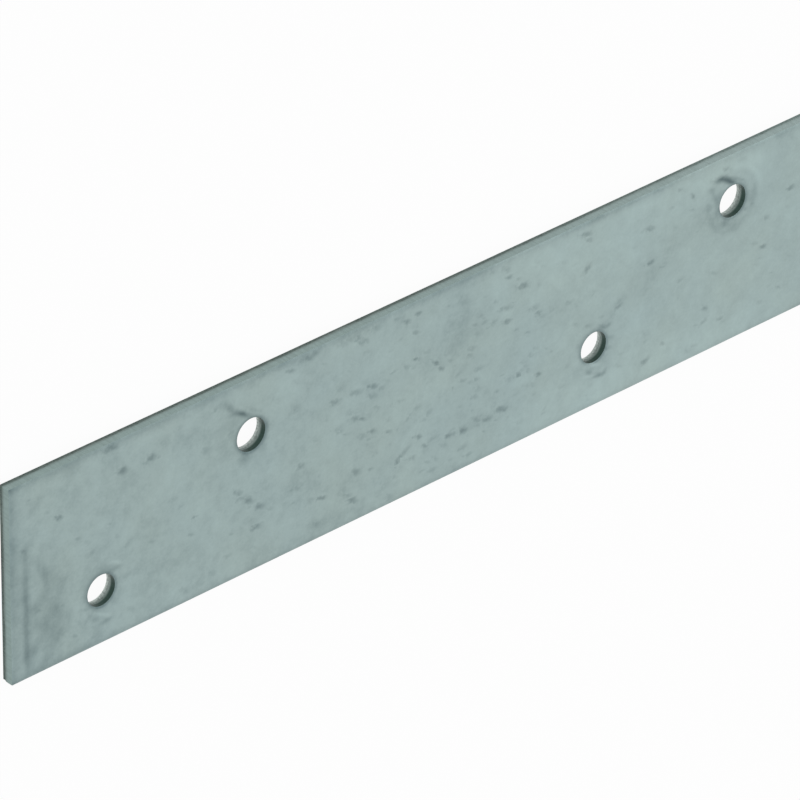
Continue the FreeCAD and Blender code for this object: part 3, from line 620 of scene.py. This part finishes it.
def speck_list(side):
    """Dashes and specks of one side as x, y, half length, half width, turn and darkness. The front has those
    read from the photograph, and both sides have a seeded scatter of fainter ones."""
    draw = np.random.default_rng(SPECK_SEEDS[side])
    placed = SPECKS if side == FRONT else SPECKS[:0]
    room = (LENGTH - 2 * END_MARGIN, WIDTH - 2 * SIDE_MARGIN)
    scattered = draw.uniform(-0.5, 0.5, (SPECK_COUNT, 2)) * room
    gathered = draw.normal(GATHERED_X, GATHERED_SPREAD, len(scattered[::2]))
    scattered[::2, 0] = np.clip(gathered, GATHERED_MARGIN - LENGTH / 2, LENGTH / 2 - GATHERED_MARGIN)
    spots = np.concatenate([placed[:, :2], scattered])
    count = len(spots)
    half_length = np.concatenate([placed[:, 2], draw.uniform(*SPECK_HALF_LENGTHS, SPECK_COUNT)])
    half_width = np.minimum(half_length * draw.uniform(*SPECK_SLIMNESS, count), SPECK_WIDEST)
    mostly = np.where(draw.random(SPECK_COUNT) < FIRST_TURN_SHARE, *SPECK_TURNS)
    turn = np.concatenate([placed[:, 3], mostly + draw.normal(0, TURN_SPREAD, SPECK_COUNT)])
    strong, faint = draw.uniform(*STRONG_SPECKS, count), draw.uniform(*FAINT_SPECKS, count)
    dark = np.where(np.arange(count) < len(placed), strong, faint)
    return np.column_stack([spots, half_length, half_width, turn, dark])


def speck_coordinates(points, faces, side_of_face):
    """For each corner of each face, the place in the nearest speck's own half lengths, and its darkness.
    The nearest is chosen once for a face, by its middle, so the two lengths run straight across it and the
    speck keeps its outline however large the faces are. Faces out of reach of any speck get none."""
    corners = points[faces]
    middle = corners.mean(1)
    best = np.full(len(faces), SPECK_REACH)
    chosen = np.tile(NO_SPECK, (len(faces), 1))
    for side in (FRONT, BACK):
        for speck in speck_list(side):
            run, rise = in_oval(middle[:, 0], middle[:, 1], *speck[:-1])
            away = np.hypot(run, rise)
            nearer = (away < best) & (side_of_face == side)
            best[nearer] = away[nearer]
            chosen[nearer] = speck
    *oval, dark = chosen.T[:, :, None]
    run, rise = in_oval(corners[:, :, 0], corners[:, :, 1], *oval)
    return np.dstack([run, rise, np.broadcast_to(dark, run.shape)]).reshape(-1, 3)


# Materials

def add_node(tree, kind, settings=(), links=(), **sockets):
    """Adds a shader node and returns it. settings are its own properties, links give inputs, by number or
    name, a value, a socket or a node whose first output they read, and sockets give inputs a value."""
    node = tree.nodes.new("ShaderNode" + kind)
    for name, value in dict(settings).items():
        setattr(node, name, value)
    for name, value in sockets.items():
        node.inputs[name.replace("_", " ")].default_value = value
    for place, source in dict(links).items():
        if isinstance(source, bpy.types.Node):
            source = source.outputs[0]
        if isinstance(source, bpy.types.NodeSocket):
            tree.links.new(source, node.inputs[place])
        else:
            node.inputs[place].default_value = source
    return node


def empty_tree(owner):
    """The emptied node tree of a new material or world."""
    owner.use_nodes = True
    owner.node_tree.nodes.clear()
    return owner.node_tree


def new_metal(name):
    """A new material, its node tree and the object coordinates that its patterns read."""
    material = bpy.data.materials.new(name)
    tree = empty_tree(material)
    return material, tree, add_node(tree, "TexCoord").outputs["Object"]


def finish_metal(tree, colour, roughness, height, strength, bump_mm):
    """Ends a metal's material with its colour and roughness and a bump from the height."""
    bump = add_node(tree, "Bump", links={"Height": height}, Strength=strength, Distance=bump_mm * MM)
    shader = add_node(tree, "BsdfPrincipled", links={
        "Base Color": colour, "Roughness": roughness, "Normal": bump, "Metallic": 1.0})
    add_node(tree, "OutputMaterial", links={"Surface": shader})


def per_metre(pattern_mm):
    """The scale at which a pattern repeats about once in that many millimetres."""
    return 1 / (pattern_mm * MM)


def zinc_coat(plate):
    """Dull zinc coat on rolled strip: the eye sees an even grey-green with clouds, a fine mottle where
    crystals took the light differently, black rubbed specks and oily smears, and no clear reflection."""
    material, tree, place = new_metal("dull_zinc_coat")
    # The tone holds the smears and also the painted shade and sheen of the edges, rims and arcs
    tone = add_node(tree, "Attribute", {"attribute_name": "tone"}).outputs["Fac"]
    speck = add_node(tree, "Attribute", {"attribute_name": "speck"}).outputs["Vector"]

    # Specks: the distance from the middle, upset by a ripple so that no outline is a plain oval
    upset = add_node(tree, "TexNoise", links={"Vector": place}, Scale=per_metre(UPSET_SIZE), Detail=2.0)
    centred = add_node(tree, "VectorMath", {"operation": "SUBTRACT"},
                       {0: upset.outputs["Color"], 1: (0.5, 0.5, 0.5)})
    pushed = add_node(tree, "VectorMath", {"operation": "MULTIPLY_ADD"},
                      {0: centred, 1: (UPSET_DEPTH, UPSET_DEPTH, 0.0), 2: speck})
    parts = add_node(tree, "SeparateXYZ", links={0: pushed})
    across = add_node(tree, "CombineXYZ", links={0: parts.outputs[0], 1: parts.outputs[1]})
    away = add_node(tree, "VectorMath", {"operation": "LENGTH"}, {0: across})
    inside = add_node(tree, "MapRange", {"interpolation_type": "SMOOTHSTEP"},
                      {"Value": away.outputs["Value"], "From Min": SPECK_OUTLINE, "From Max": 0.0})
    specks = add_node(tree, "Math", {"operation": "MULTIPLY"}, {0: inside, 1: parts.outputs[2]})

    # Mottle: clouds of 5 mm, patches of 1.4 mm and grain of 0.35 mm, coarser than the real crystals of some
    # 0.05 mm, which would not show. Rubbed zinc and painted sheen sit at darkness -1, clean zinc at 0, and
    # smears and painted shade at 1.
    total = add_node(tree, "Math", {"operation": "ADD"}, {0: tone, 1: specks})
    for size, depth, detail in MOTTLE:
        layer = add_node(tree, "TexNoise", links={"Vector": place}, Scale=per_metre(size), Detail=detail)
        swing = add_node(tree, "Math", {"operation": "MULTIPLY_ADD"}, {0: layer, 1: 2 * depth, 2: -depth})
        total = add_node(tree, "Math", {"operation": "ADD"}, {0: total, 1: swing})
    shift = add_node(tree, "Math", {"operation": "MULTIPLY_ADD"}, {0: total, 1: 0.5, 2: 0.5})
    ramp = add_node(tree, "ValToRGB", links={0: shift})
    ramp.color_ramp.elements.new(0.5)
    colours = (plate.rubbed_and_sheen_colour, plate.zinc_colour, plate.smear_and_shade_colour)
    for stop, colour in zip(ramp.color_ramp.elements, colours):
        stop.color = (*colour, 1)

    drift = add_node(tree, "TexNoise", links={"Vector": place}, Scale=per_metre(DRIFT_SIZE), Detail=2.0)
    hue = add_node(tree, "Mix", {"data_type": "RGBA"}, {MIX_SHARE: drift, MIX_A: YELLOWER, MIX_B: BLUER})
    tinted = add_node(tree, "Mix", {"data_type": "RGBA", "blend_type": "MULTIPLY"},
                      {MIX_SHARE: 1.0, MIX_A: ramp, MIX_B: hue.outputs[MIX_OUT]})

    grain = add_node(tree, "TexNoise", links={"Vector": place}, Scale=per_metre(GRAIN_SIZE), Detail=4.0)
    roughness = add_node(tree, "MapRange", links={"Value": grain, "To Min": SMOOTHEST, "To Max": DULLEST})
    finish_metal(tree, tinted.outputs[MIX_OUT], roughness, grain, strength=0.5, bump_mm=GRAIN_BUMP)
    return material


def wall_colour(tree, place, plate, lower, upper, span):
    """The colour of a cut wall. In a hole it goes by height from lower to upper over the span, in mm from
    the back face, from painted reflection to painted shade, and on the plate's outline from the torn colour
    to the land's, both darkened as painted shade, which grow paler from left to right as painted
    brightening."""
    bore = add_node(tree, "Attribute", {"attribute_name": "in_bore"}).outputs["Fac"]
    parts = add_node(tree, "SeparateXYZ", links={0: place})

    def blend(axis, first, last, low, high):
        """A colour that goes smoothly from low to high between two places on an axis, in mm."""
        share = add_node(tree, "MapRange", {"interpolation_type": "SMOOTHSTEP"}, {
            "Value": parts.outputs[axis], "From Min": first * MM, "From Max": last * MM})
        return add_node(tree, "Mix", {"data_type": "RGBA"},
                        {MIX_SHARE: share, MIX_A: low, MIX_B: high}).outputs[MIX_OUT]

    tear = plate.edge_tear_height / MM
    torn_and_shade_colour, land_and_shade_colour = (*plate.torn_and_shade_colour, 1), (*plate.land_and_shade_colour, 1)
    start = LENGTH * PALER_FROM
    land = blend("X", start, LENGTH * LAND_PALER_TO, land_and_shade_colour, (*plate.zinc_colour, 1))
    torn = blend("X", start, LENGTH * TORN_PALER_TO, torn_and_shade_colour, land_and_shade_colour)
    outer = blend("Z", tear - TORN_MIX, tear + LAND_MIX, torn, land)
    inner = blend("Z", *span, (*lower, 1), (*upper, 1))
    return add_node(tree, "Mix", {"data_type": "RGBA"},
                    {MIX_SHARE: bore, MIX_A: outer, MIX_B: inner}).outputs[MIX_OUT]


def cut_wall(name, colour_of, pattern_mm, z_scale, contrast, rough, bump_mm):
    """A cut wall's material: colour_of gives its colour, and a noise of the pattern's size gives dirt and
    bump. Its scale along Z, below 1, draws it out into upright score lines."""
    material, tree, place = new_metal(name)
    squash = add_node(tree, "Mapping", links={"Vector": place}, Scale=(1, 1, z_scale))
    noise = add_node(tree, "TexNoise", links={"Vector": squash}, Scale=per_metre(pattern_mm), Detail=3.0)
    amount = add_node(tree, "MapRange", links={
        "Value": noise, "From Min": DIRT_FROM, "From Max": DIRT_TO, "To Max": contrast})
    darker = add_node(tree, "Mix", {"data_type": "RGBA", "blend_type": "MULTIPLY"},
                      {MIX_SHARE: amount, MIX_A: colour_of(tree, place), MIX_B: DIRT})
    finish_metal(tree, darker.outputs[MIX_OUT], rough, noise, strength=0.7, bump_mm=bump_mm)
    return material


def burnished_land(plate):
    """Steel rubbed smooth by the blade or punch, with zinc dragged over it: near the face's grey on the
    outline, with painted shade that grows paler to the right and faint upright score lines, and painted
    black shade over dark burnished steel at the front of the holes. The lines are 0.3 mm apart, wider than
    real ones so that they show."""
    def colour(tree, place):
        return wall_colour(tree, place, plate, plate.bore_middle_colour, plate.bore_front_shade_colour,
                           BORE_LAND_SPAN)
    return cut_wall("burnished_shear_land", colour, pattern_mm=0.3, z_scale=0.12, contrast=0.16,
                    rough=0.45, bump_mm=0.01)


def torn_steel(plate):
    """Steel torn apart below the land: dull, pitted and grainy, with a painted reflection that makes it
    bright at the back of the holes, and painted shade over bare steel on the outline. The grain is 0.3 mm,
    coarser than real, so that it shows."""
    def colour(tree, place):
        return wall_colour(tree, place, plate, plate.bore_back_reflection_colour, plate.bore_middle_colour,
                           (BORE_TEAR_FROM, plate.hole_tear_height / MM))
    return cut_wall("torn_shear_steel", colour, pattern_mm=0.3, z_scale=0.8, contrast=0.45,
                    rough=0.68, bump_mm=0.04)


def mesh_object(name, points, faces):
    """An object at the origin whose mesh holds the points, given in mm, and the faces."""
    mesh = bpy.data.meshes.new(name)
    mesh.from_pydata(points * MM, [], faces)
    mesh.validate()
    made = bpy.data.objects.new(name, mesh)
    bpy.context.scene.collection.objects.link(made)
    return made


def store(mesh, name, kind, domain, values):
    """Writes one value for each point or corner into an attribute that the materials read."""
    attribute = mesh.attributes.new(name, kind, domain)
    field = "vector" if kind == "FLOAT_VECTOR" else "value"
    attribute.data.foreach_set(field, values.astype(np.float32).ravel())


class MENDINGPLATE_OT_plate(bpy.types.Operator):
    """Build the punched strip with its sheared edges and its zinc coat"""
    bl_idname = "mending_plate.plate"
    bl_label = "Zinc-Coated Plate"

    def execute(self, context):
        plate = context.scene.mending_plate
        points, faces, kinds = plate_surface(plate)
        made = mesh_object("zinc_coated_plate", points, faces)
        mesh = made.data
        if len(mesh.polygons) != len(faces):
            raise RuntimeError("the plate's surface lost faces")
        for material in (zinc_coat(plate), burnished_land(plate), torn_steel(plate)):
            mesh.materials.append(material)
        mesh.polygons.foreach_set("material_index", kinds.astype(np.int32))
        mesh.polygons.foreach_set("use_smooth", np.ones(len(faces), bool))
        mesh.set_sharp_from_angle(angle=SHARP_ANGLE)

        height = points[faces][:, :, 2].mean(1)
        side = np.where(kinds == FACE, np.where(height > THICKNESS / 2, FRONT, BACK), WALL)
        store(mesh, "tone", "FLOAT", "POINT", tone_of(points))
        store(mesh, "in_bore", "FLOAT", "POINT", in_bore(points))
        store(mesh, "speck", "FLOAT_VECTOR", "CORNER", speck_coordinates(points, faces, side))
        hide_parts(CAD_NODE)
        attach(made, BODY)
        return {"FINISHED"}


# Stage

def seen_by_eye(tree):
    """1 for rays from the camera and for those that metal or glass sends on, 0 for the others."""
    path = add_node(tree, "LightPath")
    seen = path.outputs["Is Camera Ray"]
    for kind in ("Is Glossy Ray", "Is Transmission Ray"):
        seen = add_node(tree, "Math", {"operation": "MAXIMUM"}, {0: seen, 1: path.outputs[kind]})
    return seen


def floor_material(stage):
    """Matt pale paper that shows nearly plain white to the camera, so that only a faint shadow is left."""
    material = bpy.data.materials.new("matt_white_floor")
    tree = empty_tree(material)
    paper = add_node(tree, "BsdfDiffuse", Color=(*stage.floor_colour, 1))
    white = add_node(tree, "Emission", Color=(1, 1, 1, 1), Strength=1.0)
    share = add_node(tree, "Math", {"operation": "MULTIPLY"}, {0: seen_by_eye(tree), 1: stage.floor_shine})
    mixed = add_node(tree, "MixShader", links={0: share, 1: paper, 2: white})
    add_node(tree, "OutputMaterial", links={"Surface": mixed})
    return material


def floor_surface(stage):
    """A square grid of level points under the plate, in mm, and its four-sided faces."""
    half = stage.floor_width / 2 / MM
    ticks = np.linspace(-half, half, FLOOR_POINTS)
    level = np.full((FLOOR_POINTS, FLOOR_POINTS), -stage.floor_gap / MM)
    points = np.stack([*np.meshgrid(ticks, ticks), level], -1).reshape(-1, 3)
    here = np.arange(FLOOR_POINTS**2).reshape(FLOOR_POINTS, FLOOR_POINTS)
    quads = np.stack([here[:-1, :-1], here[:-1, 1:], here[1:, 1:], here[1:, :-1]], -1).reshape(-1, 4)
    return points, quads


def make_world(scene, stage):
    """Even soft light from all round, which the camera, metal and glass see as plain white."""
    world = bpy.data.worlds.new("soft_studio")
    scene.world = world
    tree = empty_tree(world)
    strength = add_node(tree, "MapRange",
                        links={"Value": seen_by_eye(tree), "To Min": stage.sky_light, "To Max": 1.0})
    sky = add_node(tree, "Background", links={"Color": (1, 1, 1, 1), "Strength": strength})
    add_node(tree, "OutputWorld", links={"Surface": sky})


def add_lamp(scene, name, place, width, power):
    """A square soft lamp that points at the plate's middle."""
    lamp = bpy.data.lights.new(name, "AREA")
    lamp.size, lamp.energy = width, power
    made = bpy.data.objects.new(name, lamp)
    made.location = place
    made.rotation_mode = "QUATERNION"
    made.rotation_quaternion = Vector(place).to_track_quat("Z", "Y")
    scene.collection.objects.link(made)


def camera_pose(stage):
    """The camera's matrix: it stands off the aim along a line turned about the plate's Y axis and raised
    towards it, with Y upright in the picture before the roll."""
    turn, rise, roll = stage.view_turn, stage.view_rise, stage.view_roll
    towards = Vector((-math.sin(turn) * math.cos(rise), math.sin(rise), math.cos(turn) * math.cos(rise)))
    right = Vector((0, 1, 0)).cross(towards).normalized()
    up = towards.cross(right)
    rolled_right = math.cos(roll) * right + math.sin(roll) * up
    rolled_up = math.cos(roll) * up - math.sin(roll) * right
    axes = Matrix((rolled_right, rolled_up, towards)).transposed().to_4x4()
    return Matrix.Translation(Vector(stage.view_aim) + stage.view_range * towards) @ axes


class MENDINGPLATE_OT_stage(bpy.types.Operator):
    """Set out the pale floor, the soft light and the camera at the photograph's angle"""
    bl_idname = "mending_plate.stage"
    bl_label = "Studio Stage"

    def execute(self, context):
        scene = context.scene
        stage = scene.mending_plate_stage
        floor = mesh_object("studio_floor", *floor_surface(stage))
        floor.data.materials.append(floor_material(stage))

        make_world(scene, stage)
        for lamp in LAMPS:
            add_lamp(scene, *lamp)

        camera = bpy.data.objects.new("photo_camera", bpy.data.cameras.new("photo_camera"))
        camera.data.sensor_width = SENSOR_WIDTH
        camera.data.lens = stage.lens
        camera.data.clip_start, camera.data.clip_end = NEAREST, FARTHEST
        camera.matrix_world = camera_pose(stage)
        scene.collection.objects.link(camera)
        scene.camera = camera
        scene.view_settings.view_transform = "Standard"
        return {"FINISHED"}


class MENDINGPLATE_PT_sidebar(bpy.types.Panel):
    """The plate's and the stage's settings, each over the button that makes it"""
    bl_label = "Mending Plate"
    bl_space_type = "VIEW_3D"
    bl_region_type = "UI"
    bl_category = "Mending Plate"

    def draw(self, context):
        scene = context.scene
        for operator, settings in ((MENDINGPLATE_OT_plate, scene.mending_plate),
                                   (MENDINGPLATE_OT_stage, scene.mending_plate_stage)):
            box = self.layout.box()
            for name in settings.__annotations__:
                box.prop(settings, name)
            box.operator(operator.bl_idname)


CLASSES = (PlateSettings, StageSettings, MENDINGPLATE_OT_plate, MENDINGPLATE_OT_stage,
           MENDINGPLATE_PT_sidebar)


def register():
    for made in CLASSES:
        bpy.utils.register_class(made)
    bpy.types.Scene.mending_plate = bpy.props.PointerProperty(type=PlateSettings)
    bpy.types.Scene.mending_plate_stage = bpy.props.PointerProperty(type=StageSettings)


def unregister():
    del bpy.types.Scene.mending_plate_stage
    del bpy.types.Scene.mending_plate
    for made in reversed(CLASSES):
        bpy.utils.unregister_class(made)


def main():
    """Builds the plate and the stage."""
    register()
    bpy.ops.mending_plate.plate()
    bpy.ops.mending_plate.stage()


if __name__ == "__main__":
    main()
